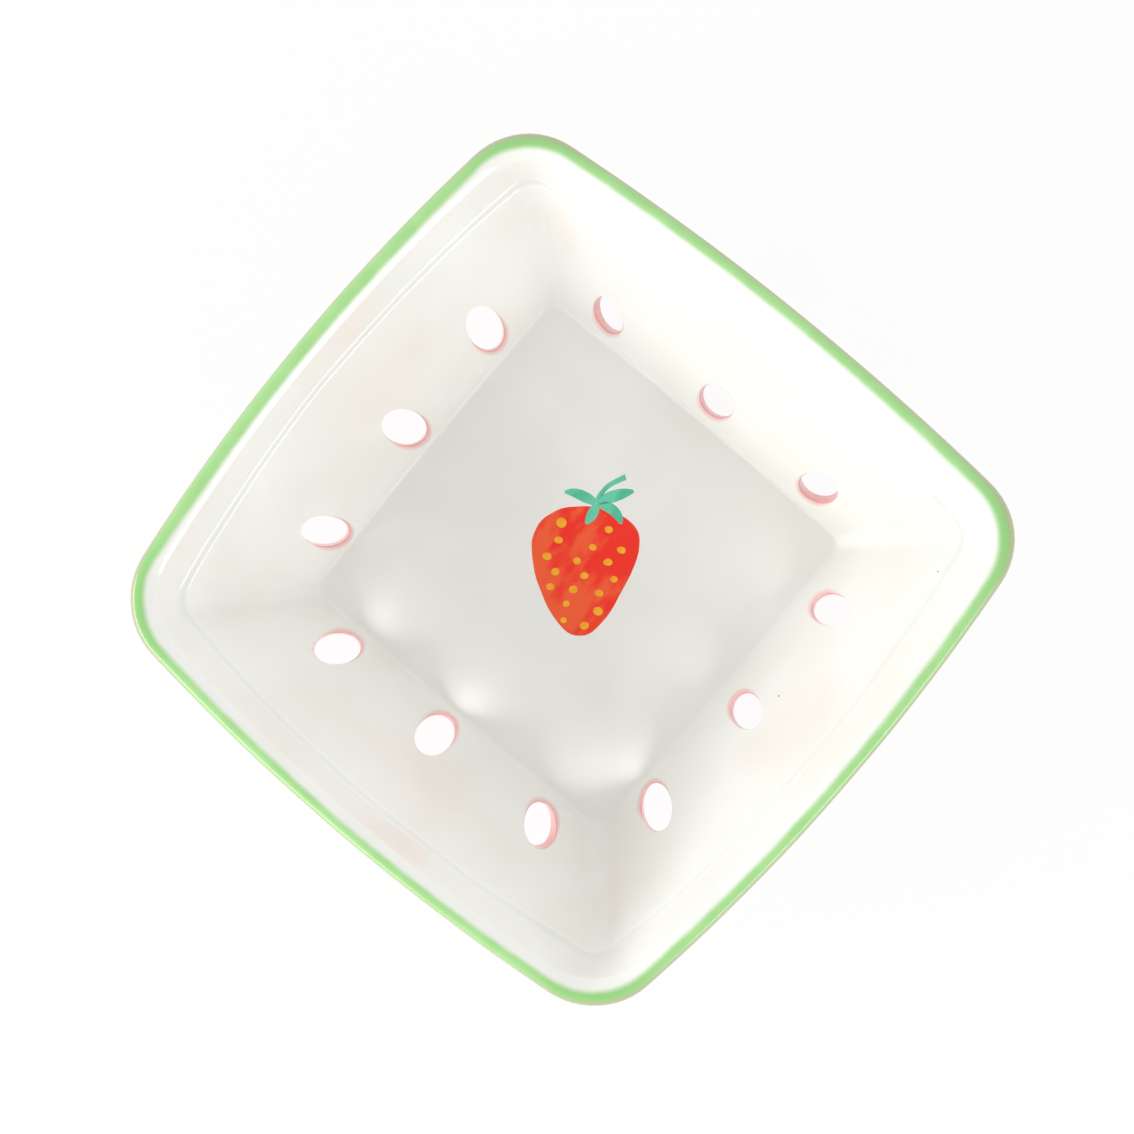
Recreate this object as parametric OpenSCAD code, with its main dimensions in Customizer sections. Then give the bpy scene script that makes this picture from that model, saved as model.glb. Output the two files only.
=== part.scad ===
// Square berry colander bowl of glazed stoneware, in millimetres.
// It stands on its foot ring at z = 0, centred on the origin, with its sides along X and Y.

/* [Bowl] */
// Width over the rim, from the middle of one side to the middle of the opposite side
bowl_w = 160; // [140:1:200]
// Height of the rim above the table
bowl_h = 60; // [50:1:80]
// Width of the flat floor inside
floor_w = 96; // [84:1:108]
// Thickness of the floor, with its glaze
floor_t = 5.5; // [4:0.1:8]
// Thickness of the wall, with its glaze
wall_t = 4.5; // [4:0.1:6]
// Radius of the curve between floor and wall inside
floor_edge_r = 3; // [1.5:0.1:6]
// Radius of the curve between wall and base outside
base_edge_r = 6; // [2:0.1:9]

/* [Plan] */
// How far the middle of each rim side bows out
rim_bow = 5.3; // [2:0.1:8]
// How far the middle of each side bows out at the step
step_bow = 6; // [2:0.1:8]
// How far the middle of each side bows out at the floor
floor_bow = 0.8; // [0.3:0.1:3]
// Corner radius of the rim, at its outer edge
rim_corner_r = 18.3; // [10:0.1:28]
// Corner radius of the wall inside, at the step
step_corner_r = 6; // [2:0.1:14]
// Corner radius of the wall inside, at the floor
floor_corner_r = 4; // [2:0.1:12]
// Corner radius of the base outside
base_corner_r = 12; // [6:0.1:20]

/* [Lip and step] */
// Thickness of the lip, with its glaze
lip_t = 3.7; // [3:0.1:3.9]
// Depth of the step inside, below the top of the rim
step_drop = 10; // [7:0.1:14]
// Height over which the step runs out to the thinner lip
step_h = 1.1; // [0.6:0.1:2]

/* [Glaze] */
// Thickness of the white, pink and green glaze
glaze_t = 0.4; // [0.2:0.05:0.6]
// How far the green band reaches down inside, below the top of the rim
band_in_drop = 1.6; // [1.2:0.1:3]
// Slope of the lip where green meets pink outside, in degrees above level
band_out_angle = 30; // [5:1:60]

/* [Drain holes] */
// Diameter of a finished drain hole
hole_d = 9.6; // [6:0.1:12]
// Drain holes in each wall
holes_a_side = 3; // [1:1:3]
// Distance from hole to hole along a wall
hole_pitch = 33; // [20:0.5:36]
// Height of the middle of a hole above the floor inside
hole_rise = 11; // [8:0.1:16]
// Lean of the holes from upright, in degrees: they run down and outward, square to their wall in plan
hole_lean = 10; // [0:1:35]

/* [Foot] */
// How far the foot ring stands in from the edge of the base
foot_in = 8; // [6:0.5:16]
// Thickness of the foot ring
foot_t = 5; // [3:0.1:8]
// Height of the base above the table
foot_h = 5; // [3:0.1:8]
// Radius of the foot's rounded lower edges
foot_edge_r = 1.2; // [0.5:0.1:1.4]

/* [Strawberry] */
// Length of the painted fruit
berry_l = 34; // [15:0.5:45]
// Width of the painted fruit
berry_w = 28; // [12:0.5:40]
// How far the fruit's middle line bends aside, half way up
berry_bend = 1.5; // [-3:0.1:3]
// Middle of the fruit along X
berry_x = 0.5; // [-10:0.5:10]
// Middle of the fruit along Y
berry_y = -3; // [-10:0.5:10]
// Direction of the stalk, in degrees from +X
berry_turn = 32; // [0:1:359]
// Thickness of each painted layer
paint_t = 0.15; // [0.1:0.05:0.3]
// Diameter of a painted seed
seed_d = 2; // [0.8:0.1:2.6]
// Length of the longest leaf
leaf_l = 10; // [5:0.5:14]
// Width of a leaf
leaf_w = 3; // [2:0.1:5]
// Radius of the curved stem
stem_r = 12; // [8:0.5:20]
// Width of the stem
stem_w = 1.7; // [0.8:0.1:3]

/* [Hidden] */

// Points along each side and round each corner of every level
side_n = 8;
corner_n = 6;
// Steps in the rounds of the section
edge_n = 4;
lip_n = 8;
// Steps round a drain hole or a seed
round_n = 48;

// The pressed rim isn't quite even. Each corner is drawn in or out by its share of the half width,
// in the order ++, -+, --, +-, and each side has its share of the bow, in the order +X, +Y, -X, -Y.
corner_shares = [-0.009, 0.001, -0.004, 0.026];
bow_shares = [0.78, 1.12, 1.02, 1.08];

// Section of the bowl: places are [distance from the middle plane, height]
rim_half = bowl_w/2;
floor_half = floor_w/2;
floor_z = foot_h + floor_t;
lip_r = lip_t/2;
lip_mid = [rim_half - lip_r, bowl_h - lip_r];
floor_corner = [floor_half, floor_z];
reach = lip_mid - floor_corner;
// The wall's inner face leaves the floor's corner so that its outer face runs into the round of the lip
slope = atan2(reach.y, reach.x) + asin((wall_t - lip_r)/norm(reach));
wall_dir = [cos(slope), sin(slope)];
wall_out = [sin(slope), -cos(slope)];

function at_height(from, z) = from + wall_dir*(z - from.y)/wall_dir.y;
step_z = bowl_h - step_drop;
step_low = at_height(floor_corner, step_z - step_h/2);
lip_in = lip_mid - wall_out*lip_r;
step_high = at_height(lip_in, step_z + step_h/2);
base_corner = at_height(floor_corner + wall_out*wall_t, foot_h);
foot_half = base_corner.x - foot_in;
wall_mid_z = (floor_z + step_z)/2;

// Round of radius r at corner c, between a path that comes in along a degrees and leaves along b
function round_at(c, r, a, b, n) =
    let (side = sign(b - a), t = r*tan(abs(b - a)/2),
         m = c - t*[cos(a), sin(a)] + side*r*[-sin(a), cos(a)])
    [for (i = [0:n]) let (d = a + (b - a)*i/n - side*90) m + r*[cos(d), sin(d)]];

step_turn = step_high - step_low;
step_angle = atan2(step_turn.y, step_turn.x);
step_edge_r = step_h;
inside_path = concat(
    round_at(floor_corner, floor_edge_r, 0, slope, edge_n),
    [at_height(floor_corner, wall_mid_z)],
    round_at(step_low, step_edge_r, slope, step_angle, edge_n/2),
    round_at(step_high, step_edge_r, step_angle, slope, edge_n/2),
    [at_height(lip_in, bowl_h - band_in_drop)]);
lip_start = 90 + slope;
function on_lip(a) = lip_mid + lip_r*[cos(a), sin(a)];
band_path = [for (i = [0:lip_n]) on_lip(lip_start + (band_out_angle - lip_start)*i/lip_n)];
under_path = [for (i = [1:edge_n]) on_lip(band_out_angle + (slope - 90 - band_out_angle)*i/edge_n)];
outside_path = concat(under_path,
    [at_height(base_corner, wall_mid_z)],
    round_at(base_corner, base_edge_r, slope - 180, -180, edge_n),
    [[foot_half, foot_h]]);
skin_path = concat(inside_path, band_path, outside_path);

// The clay lies under the glaze: the same path, drawn in square to itself
function way(path, i) = i < 0 ? [1, 0] : i > len(path) - 2 ? [-1, 0]
    : (path[i + 1] - path[i])/norm(path[i + 1] - path[i]);
function drawn_in(path, t) = [for (i = [0:len(path) - 1])
    let (a = way(path, i - 1), b = way(path, i), m = [a.y + b.y, -a.x - b.x]/norm(a + b))
    path[i] + m*t/(m*[a.y, -a.x])];
clay_path = drawn_in(skin_path, glaze_t);

// Where the green band starts and ends along the path, and how many places the path has
n_in = len(inside_path);
n_band = n_in + len(band_path);
n_all = len(skin_path);

// Plan of one level: four bowed sides and four round corners. Across the lip, the corner radius
// takes up this share of the way in from the rim's outer edge.
lip_corner_share = 0.6;
function bow_at(z) = lookup(z, [[floor_z, floor_bow], [step_z, step_bow], [lip_mid.y, rim_bow]]);
function lip_corner_r(half) = rim_corner_r + lip_corner_share*(half - rim_half);
function inner_r(z) = lookup(z, [[floor_z, floor_corner_r], [step_z, step_corner_r],
    [lip_mid.y, lip_corner_r(at_height(lip_in, lip_mid.y).x)]]);
function outer_r(z) = lookup(z, [[foot_h + base_edge_r, base_corner_r], [lip_mid.y, rim_corner_r]]);
function corner_r(place, inner) = place.y > lip_mid.y ? lip_corner_r(place.x)
    : inner ? inner_r(place.y) : outer_r(place.y);
function rise_share(z) = max(0, min(1, (z - floor_z)/(lip_mid.y - floor_z)));
function turned(p, k) = [[p.x, p.y], [-p.y, p.x], [-p.x, -p.y], [p.y, -p.x]][k];
function arc_r(half_chord, bow) = (half_chord*half_chord + bow*bow)/(2*bow);
function plan(half, bow, r) =
    let (big = arc_r(half - bow, bow), b = half - big,
         q = (2*b + sqrt(4*b*b - 8*(b*b - pow(big - r, 2))))/4, a = atan2(q, q - b))
    [for (k = [0:3]) each concat(
        [for (i = [0:side_n - 1]) let (t = a*(2*i/side_n - 1)) turned([b + big*cos(t), big*sin(t)], k)],
        [for (i = [0:corner_n - 1]) let (t = a + (90 - 2*a)*i/corner_n)
            turned([q + r*cos(t), q + r*sin(t)], k)])];

// The uneven rim: corners pulled by a weight that is 1 at a corner, sides pushed out at their middles
corner_signs = [[1, 1], [-1, 1], [-1, -1], [1, -1]];
function pull(p) = [for (i = [0:3]) corner_shares[i]*(1 + corner_signs[i].x*p.x/rim_half)
    *(1 + corner_signs[i].y*p.y/rim_half)/4]*[1, 1, 1, 1];
function push(p) = abs(p.x) > abs(p.y)
    ? [sign(p.x)*rim_bow*(bow_shares[p.x > 0 ? 0 : 2] - 1)*(1 - pow(p.y/p.x, 2)), 0]
    : [0, sign(p.y)*rim_bow*(bow_shares[p.y > 0 ? 1 : 3] - 1)*(1 - pow(p.x/p.y, 2))];
function pressed(p, share) = p*(1 + share*pull(p)) + share*push(p);

function level(place, r) =
    let (z = place.y, share = rise_share(z))
    [for (p = plan(place.x, bow_at(z), r)) let (w = pressed(p, share)) [w.x, w.y, z]];
skin_r = [for (i = [0:n_all - 1]) corner_r(skin_path[i], i < n_in)];
skin_levels = [for (i = [0:n_all - 1]) level(skin_path[i], skin_r[i])];
clay_levels = [for (i = [0:n_all - 1]) level(clay_path[i], skin_r[i] + clay_path[i].x - skin_path[i].x)];

// Solid through a row of levels. Open rows are capped at both ends, closed ones run back to their start.
// Each four-sided patch is cut in two, with the cuts leaning opposite ways on either side of a wall's
// middle. From row back_from on, the rows run back along the path, and the cuts still fit the way there.
function leans_back(j) =
    let (place = j%(side_n + corner_n)) place < side_n/2 || place >= side_n + corner_n/2;
function patch(a, b, c, d, back) = back ? [[a, b, c], [a, c, d]] : [[a, b, d], [b, c, d]];
module loft(rows, closed = false, back_from = undef) {
    n = len(rows[0]);
    m = len(rows);
    last = closed ? m - 1 : m - 2;
    turn = is_undef(back_from) ? m : back_from;
    polyhedron(points = [for (row = rows) each row],
        faces = concat(
            [for (i = [0:last], j = [0:n - 1]) let (i2 = (i + 1)%m, j2 = (j + 1)%n)
                each patch(i*n + j, i*n + j2, i2*n + j2, i2*n + j, leans_back(j) == (i < turn))],
            closed ? [] : [[for (j = [0:n - 1]) n - 1 - j], [for (j = [0:n - 1]) (m - 1)*n + j]]),
        convexity = 6);
}

// A layer of glaze: the skin over a stretch of the path, and back along the clay under it
module glaze_layer(from, to, closed = true) {
    loft(concat([for (i = [from:to]) skin_levels[i]], [for (i = [to:-1:from]) clay_levels[i]]),
        closed, to - from + 1);
}

// The drain holes, three in each wall, drawn as rods of diameter d
hole_half = at_height(floor_corner, floor_z + hole_rise).x;
hole_run = 2*wall_t + hole_d;
module drain_rods(d) {
    for (k = [0:3], i = [0:holes_a_side - 1])
        let (along = (i - (holes_a_side - 1)/2)*hole_pitch)
            rotate(90*k)
                translate([hole_half, along, floor_z + hole_rise])
                    rotate([0, -hole_lean, 0])
                        cylinder(d = d, h = 2*hole_run, center = true, $fn = round_n);
}
clay_hole_d = hole_d + 2*glaze_t;

module stoneware_body() {
    color("#d8cbb8")
        difference() {
            loft(clay_levels);
            drain_rods(clay_hole_d);
        }
}

// Plan of the foot ring, drawn in from its outer face
function foot_level(inward, z) =
    [for (p = plan(foot_half - inward, floor_bow, base_corner_r - inward)) [p.x, p.y, z]];
module foot_ring() {
    top = foot_h + glaze_t;
    turns = [for (i = [0:edge_n]) 90*i/edge_n];
    color("#cdbda6")
        loft(concat(
            [foot_level(foot_t, top), foot_level(0, top)],
            [for (a = turns) foot_level(foot_edge_r*(1 - cos(a)), foot_edge_r*(1 - sin(a)))],
            [for (a = turns) foot_level(foot_t - foot_edge_r*(1 - sin(a)), foot_edge_r*(1 - cos(a)))]),
            closed = true);
}

module inside_glaze() {
    color("#f4f2ea")
        difference() {
            glaze_layer(0, n_in - 1, closed = false);
            drain_rods(clay_hole_d);
        }
}

module outside_glaze() {
    color("#f0a9a8") {
        difference() {
            glaze_layer(n_band - 1, n_all - 1);
            drain_rods(clay_hole_d);
        }
        translate([0, 0, foot_h])
            linear_extrude(glaze_t) polygon([for (p = foot_level(foot_t, 0)) [p.x, p.y]]);
    }
}

module drain_hole_glaze() {
    color("#f5afaf")
        difference() {
            intersection() {
                loft(skin_levels);
                drain_rods(clay_hole_d);
            }
            drain_rods(hole_d);
        }
}

module rim_band() {
    color("#a9d88e")
        glaze_layer(n_in - 1, n_band - 1);
}

// The painted strawberry is drawn flat, with its stalk along +X, then laid on the floor
module painted(layer) {
    translate([berry_x, berry_y, floor_z + layer*paint_t])
        rotate(berry_turn)
            linear_extrude(paint_t)
                children();
}

// Half width of the fruit at a share of its length from the tip: a round tip and broad shoulders
fruit_n = 24;
tip_power = 0.5;
shoulder_power = 5;
function fruit_swell(t) = pow(t, tip_power)*sqrt(1 - pow(t, shoulder_power));
fruit_peak = max([for (i = [0:fruit_n]) fruit_swell(i/fruit_n)]);
function fruit_half(t) = berry_w/2*fruit_swell(t)/fruit_peak;
function in_fruit(t, aside_share) =
    [(t - 0.5)*berry_l, aside_share*fruit_half(t) + berry_bend*sin(180*t)];
module fruit_shape() {
    t = [for (i = [0:fruit_n]) (1 - cos(180*i/fruit_n))/2];
    polygon(concat([for (i = [0:fruit_n]) in_fruit(t[i], 1)],
        [for (i = [fruit_n - 1:-1:1]) in_fruit(t[i], -1)]));
}

// Seeds in rows: share of the fruit's length from the tip, and how many lie in the row
seed_row_shares = [[0.1, 2], [0.23, 3], [0.36, 2], [0.48, 3], [0.6, 2], [0.7, 3], [0.8, 1]];
module seed_shapes() {
    for (row = seed_row_shares, i = [0:row[1] - 1])
        translate(in_fruit(row[0], (2*i + 1)/row[1] - 1))
            circle(d = seed_d, $fn = round_n);
}

// Leaves spread from the stalk's foot: the angle of each from the stalk, and its share of the longest.
// The outline runs out along one side of each leaf to its tip and back along the other, from where
// the leaves leave the foot.
leaf_angles = [-125, -65, 80, 160];
leaf_length_shares = [0.9, 1, 0.9, 0.6];
leaf_foot_share = 0.51;
leaf_root_share = 0.3;
leaf_n = 6;
leaf_foot = berry_l*leaf_foot_share;
module leaf_shapes() {
    function half_leaf(l) = let (r = arc_r(l/2, leaf_w/2))
        [for (i = [0:leaf_n]) let (x = l*(leaf_root_share + (1 - leaf_root_share)*i/leaf_n))
            [x, sqrt(r*r - pow(x - l/2, 2)) - r + leaf_w/2]];
    function aside(p, a) = [leaf_foot + p.x*cos(a) - p.y*sin(a), p.x*sin(a) + p.y*cos(a)];
    polygon([for (k = [0:len(leaf_angles) - 1])
        let (a = leaf_angles[k], side = half_leaf(leaf_l*leaf_length_shares[k])) each concat(
            [for (i = [0:leaf_n]) aside([side[i].x, -side[i].y], a)],
            [for (i = [leaf_n - 1:-1:0]) aside(side[i], a)])]);
}

// Stem: a strip along an arc that starts straight up the stalk and bends aside, wider at its cut end
stem_turn = 50;
stem_start_share = 0.5;
stem_n = 8;
module stem_shape() {
    side = [for (i = [0:stem_n])
        let (a = stem_turn*i/stem_n, w = stem_w/2*(stem_start_share + (1 - stem_start_share)*i/stem_n))
        [[(stem_r + w)*sin(a), (stem_r + w)*cos(a)], [(stem_r - w)*sin(a), (stem_r - w)*cos(a)]]];
    translate([leaf_foot, -stem_r])
        polygon(concat([for (p = side) p[0]], [for (i = [stem_n:-1:0]) side[i][1]]));
}

module strawberry_fruit() {
    color("#e23a26") painted(0) difference() { fruit_shape(); leaf_shapes(); stem_shape(); }
}
module strawberry_seeds() { color("#f0b030") painted(1) seed_shapes(); }
module strawberry_leaves() { color("#4fae8c") painted(0) leaf_shapes(); }
module strawberry_stem() { color("#5cba98") painted(0) difference() { stem_shape(); leaf_shapes(); } }

stoneware_body();
foot_ring();
inside_glaze();
outside_glaze();
drain_hole_glaze();
rim_band();
strawberry_fruit();
strawberry_seeds();
strawberry_leaves();
strawberry_stem();
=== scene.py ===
from math import asin, atan2, cos, degrees, pi, radians, sin, sqrt, tan

import bpy
import numpy as np
from mathutils import Euler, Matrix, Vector, noise


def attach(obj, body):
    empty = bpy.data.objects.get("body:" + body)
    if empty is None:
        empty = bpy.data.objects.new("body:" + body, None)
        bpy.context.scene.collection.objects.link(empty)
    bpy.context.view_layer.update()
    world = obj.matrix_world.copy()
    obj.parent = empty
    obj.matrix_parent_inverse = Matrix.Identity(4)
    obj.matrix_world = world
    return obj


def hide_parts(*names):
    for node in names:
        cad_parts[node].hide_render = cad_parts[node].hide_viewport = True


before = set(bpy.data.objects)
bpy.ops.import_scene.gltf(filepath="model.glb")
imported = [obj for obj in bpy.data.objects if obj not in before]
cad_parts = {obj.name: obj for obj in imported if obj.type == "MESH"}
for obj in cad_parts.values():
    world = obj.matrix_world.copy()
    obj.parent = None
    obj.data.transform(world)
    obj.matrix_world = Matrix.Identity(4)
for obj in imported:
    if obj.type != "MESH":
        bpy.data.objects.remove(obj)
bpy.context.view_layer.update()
mm = 0.001
print("frame loaded:", len(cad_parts), "nodes")

# Square bowl with bowed sides, in millimetres. Its sizes are those of the frame's solids, except that
# the floor's edge is tighter, the step is softer and the lip slopes more gently inside
bowl = {
    "width": 160, "height": 60, "floorWidth": 96, "floorThick": 5.5, "wallThick": 4.5,
    "floorEdge": 2.0, "baseEdge": 6,
    "rimBow": 5.3, "stepBow": 6, "floorBow": 0.8,
    "rimCorner": 18.3, "stepCorner": 6, "floorCorner": 4, "baseCorner": 12, "lipCornerShare": 0.6,
    "lipThick": 3.7, "stepDrop": 10, "stepHeight": 0.5, "stepDepth": 0.2, "stepRound": 1.9,
    "lipInRound": 3, "bevelFrom": 33, "bevelTo": 44, "bevelRound": 10, "kneeRound": 1.2,
    "glaze": 0.4, "bandOutAngle": 14,
    "footIn": 8, "footHeight": 5,
    "cornerPull": [-0.009, 0.001, -0.004, 0.026],  # corners ++, -+, --, +-
    "bowShares": [0.78, 1.12, 1.02, 1.08],         # sides +X, +Y, -X, -Y
    "sidePoints": 84, "cornerPoints": 12, "spacing": 1.3, "rings": 15, "cornerSpread": 10,
    "ripple": 0.06, "rippleLength": 19,            # the glaze runs a little uneven
    "stepWeave": 0.9, "weaveLength": 23, "weaveReach": 4,  # the step was drawn freehand
}


def heading(angle):
    return np.array([cos(radians(angle)), sin(radians(angle))])


def roundAt(corner, radius, angleIn, angleOut, steps):
    side = 1 if angleOut > angleIn else -1
    reach = radius * tan(radians(abs(angleOut - angleIn) / 2))
    middle = corner - reach * heading(angleIn) + side * radius * heading(angleIn + 90)
    turn = (angleOut - angleIn) / steps
    return [middle + radius * heading(angleIn + turn * i - side * 90) for i in range(steps + 1)]


def arc(middle, radius, start, end, steps):
    return [middle + radius * heading(start + (end - start) * i / steps) for i in range(steps + 1)]


def between(start, end):
    count = max(1, round(np.linalg.norm(end - start) / bowl["spacing"]))
    return [start + (end - start) * i / count for i in range(1, count)]


# Section through the middle of a wall: places are (distance from the middle, height)
lipRadius = bowl["lipThick"] / 2
lipMiddle = np.array([bowl["width"] / 2 - lipRadius, bowl["height"] - lipRadius])
floorZ = bowl["footHeight"] + bowl["floorThick"]
floorEnd = np.array([bowl["floorWidth"] / 2, floorZ])
toLip = lipMiddle - floorEnd
slope = degrees(atan2(toLip[1], toLip[0])
                + asin((bowl["wallThick"] - lipRadius) / np.linalg.norm(toLip)))
wallWay = heading(slope)
wallOut = heading(slope - 90)


def atHeight(place, z):
    return place + wallWay * (z - place[1]) / wallWay[1]


stepZ = bowl["height"] - bowl["stepDrop"]
lipInside = lipMiddle - wallOut * lipRadius
stepLow = atHeight(floorEnd, stepZ - bowl["stepHeight"] / 2)
stepHigh = atHeight(lipInside, stepZ + bowl["stepHeight"] / 2) + [bowl["stepDepth"], 0]
stepAngle = degrees(atan2(stepHigh[1] - stepLow[1], stepHigh[0] - stepLow[0]))

# Inside the green edge the lip slopes gently, then turns down into the wall
crestMiddle = lipMiddle + [0, lipRadius - bowl["lipInRound"]]
bandIn = arc(crestMiddle, bowl["lipInRound"], 90 + bowl["bevelFrom"], 90, 12)
bevelMiddle = bandIn[0] - bowl["bevelRound"] * heading(90 + bowl["bevelFrom"])
bevel = arc(bevelMiddle, bowl["bevelRound"], 90 + bowl["bevelTo"], 90 + bowl["bevelFrom"], 4)
kneeMiddle = bevel[0] - bowl["kneeRound"] * heading(90 + bowl["bevelTo"])
toKnee = kneeMiddle - stepHigh
upperSlope = degrees(atan2(toKnee[1], toKnee[0])
                     + asin(bowl["kneeRound"] / np.linalg.norm(toKnee)))
knee = arc(kneeMiddle, bowl["kneeRound"], 90 + upperSlope, 90 + bowl["bevelTo"], 4)
baseEnd = atHeight(floorEnd + wallOut * bowl["wallThick"], bowl["footHeight"])
footHalf = baseEnd[0] - bowl["footIn"]

floorRound = roundAt(floorEnd, bowl["floorEdge"], 0, slope, 8)
stepRoundLow = roundAt(stepLow, bowl["stepRound"], slope, stepAngle, 5)
stepRoundHigh = roundAt(stepHigh, bowl["stepRound"], stepAngle, upperSlope, 5)
insidePath = np.array(floorRound + between(floorRound[-1], stepRoundLow[0]) + stepRoundLow
                      + stepRoundHigh + between(stepRoundHigh[-1], knee[0]) + knee)
bandOut = arc(lipMiddle, lipRadius, 90, bowl["bandOutAngle"], 10)
bandPath = np.array(bevel[1:] + bandIn[1:] + bandOut[1:])
underLip = arc(lipMiddle, lipRadius, bowl["bandOutAngle"], slope - 90, 8)[1:]
baseRound = roundAt(baseEnd, bowl["baseEdge"], slope - 180, -180, 8)
outsidePath = np.array(underLip + between(underLip[-1], baseRound[0]) + baseRound)


def planOf(half, bow, corner):
    # outline of one level: four bowed sides and four round corners
    big = ((half - bow) ** 2 + bow ** 2) / (2 * bow)
    b = half - big
    q = (2 * b + sqrt(4 * b * b - 8 * (b * b - (big - corner) ** 2))) / 4
    a = atan2(q, q - b)
    onSide = a * (2 * np.arange(bowl["sidePoints"]) / bowl["sidePoints"] - 1)
    onCorner = a + (pi / 2 - 2 * a) * np.arange(bowl["cornerPoints"]) / bowl["cornerPoints"]
    x = np.concatenate([b + big * np.cos(onSide), q + corner * np.cos(onCorner)])
    y = np.concatenate([big * np.sin(onSide), q + corner * np.sin(onCorner)])
    return np.array([*zip(x, y), *zip(-y, x), *zip(-x, -y), *zip(y, -x)])


def bowAt(z):
    return np.interp(z, [floorZ, stepZ, lipMiddle[1]],
                     [bowl["floorBow"], bowl["stepBow"], bowl["rimBow"]])


def lipCorner(half):
    return bowl["rimCorner"] + bowl["lipCornerShare"] * (half - bowl["width"] / 2)


def insideCorner(half, z):
    if z > knee[0][1]:
        return lipCorner(half)
    return np.interp(z, [floorZ, stepZ, knee[0][1]], [bowl["floorCorner"], bowl["stepCorner"],
                     lipCorner(knee[0][0])])


def outsideCorner(half, z):
    if z > lipMiddle[1]:
        return lipCorner(half)
    return np.interp(z, [bowl["footHeight"] + bowl["baseEdge"], lipMiddle[1]],
                     [bowl["baseCorner"], bowl["rimCorner"]])


def pressed(points):
    # the uneven rim: corners pulled in or out, sides pushed out at their middles
    x, y, z = points.T
    share = np.clip((z - floorZ) / (lipMiddle[1] - floorZ), 0, 1)
    rimHalf = bowl["width"] / 2
    pull = sum(amount * (1 + sx * x / rimHalf) * (1 + sy * y / rimHalf) / 4 for amount, (sx, sy)
               in zip(bowl["cornerPull"], [(1, 1), (-1, 1), (-1, -1), (1, -1)]))
    onX = np.abs(x) > np.abs(y)
    far, near = np.where(onX, x, y), np.where(onX, y, x)
    side = np.where(onX, np.where(x > 0, 0, 2), np.where(y > 0, 1, 3))
    bows = np.array(bowl["bowShares"])[side] - 1
    push = np.sign(far) * bowl["rimBow"] * bows * (1 - (near / np.where(far == 0, 1, far)) ** 2)
    moved = points.copy()
    moved[:, 0] = x * (1 + share * pull) + share * np.where(onX, push, 0)
    moved[:, 1] = y * (1 + share * pull) + share * np.where(onX, 0, push)
    return moved


# Rows of the glazed skin, from the middle of the floor over the lip to the middle of the underside
rows, rowGlaze = [], []


def addRow(outline, z, glaze):
    rows.append(np.column_stack([outline, np.full(len(outline), z)]))
    rowGlaze.append(glaze)


floorOutline = planOf(floorRound[0][0], bowl["floorBow"], bowl["floorCorner"])
for share in np.linspace(0, 1, bowl["rings"])[1:-1]:
    addRow(floorOutline * share, floorZ, "inside")
for half, z in insidePath:
    addRow(planOf(half, bowAt(z), insideCorner(half, z)), z, "inside")
for half, z in bandPath:
    addRow(planOf(half, bowAt(z), lipCorner(half)), z, "band")
for half, z in outsidePath:
    addRow(planOf(half, bowAt(z), outsideCorner(half, z)), z, "outside")
baseOutline = planOf(footHalf, bowl["floorBow"], bowl["baseCorner"])
for share in np.linspace(1, 0, bowl["rings"])[:-1]:
    addRow(baseOutline * share, bowl["footHeight"], "outside")

columns = len(floorOutline)
points = np.vstack(rows + [np.array([[0, 0, floorZ], [0, 0, bowl["footHeight"]]])])
floorMiddle, baseMiddle = len(points) - 2, len(points) - 1
firstInside = bowl["rings"] - 2
firstOutside = rowGlaze.index("outside")


def at(row, column):
    return row * columns + column % columns


# Distance along the section from the green band's inner edge, in millimetres, and how near a corner
steps = np.linalg.norm(np.diff([r[bowl["sidePoints"] // 2] for r in rows], axis=0), axis=1)
travelled = np.concatenate([[0], np.cumsum(steps)])
fromBand = np.repeat(travelled - travelled[rowGlaze.index("band") - 1], columns)
onColumn = np.arange(columns) % (bowl["sidePoints"] + bowl["cornerPoints"])
cornerMiddle = bowl["sidePoints"] + bowl["cornerPoints"] / 2
nearCorner = np.tile(np.exp(-((np.minimum(np.abs(onColumn - cornerMiddle), onColumn
                     + bowl["cornerPoints"] / 2)) / bowl["cornerSpread"]) ** 2), len(rows))
# the green brush went in deeper on the +Y side
onSide = np.clip(onColumn / bowl["sidePoints"], 0, 1)
ySide = np.arange(columns) // (bowl["sidePoints"] + bowl["cornerPoints"]) == 1
brushedWide = np.tile(np.where(ySide, np.sqrt(np.sin(pi * onSide)), 0), len(rows))
print("skin:", len(rows), "rows of", columns)

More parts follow.
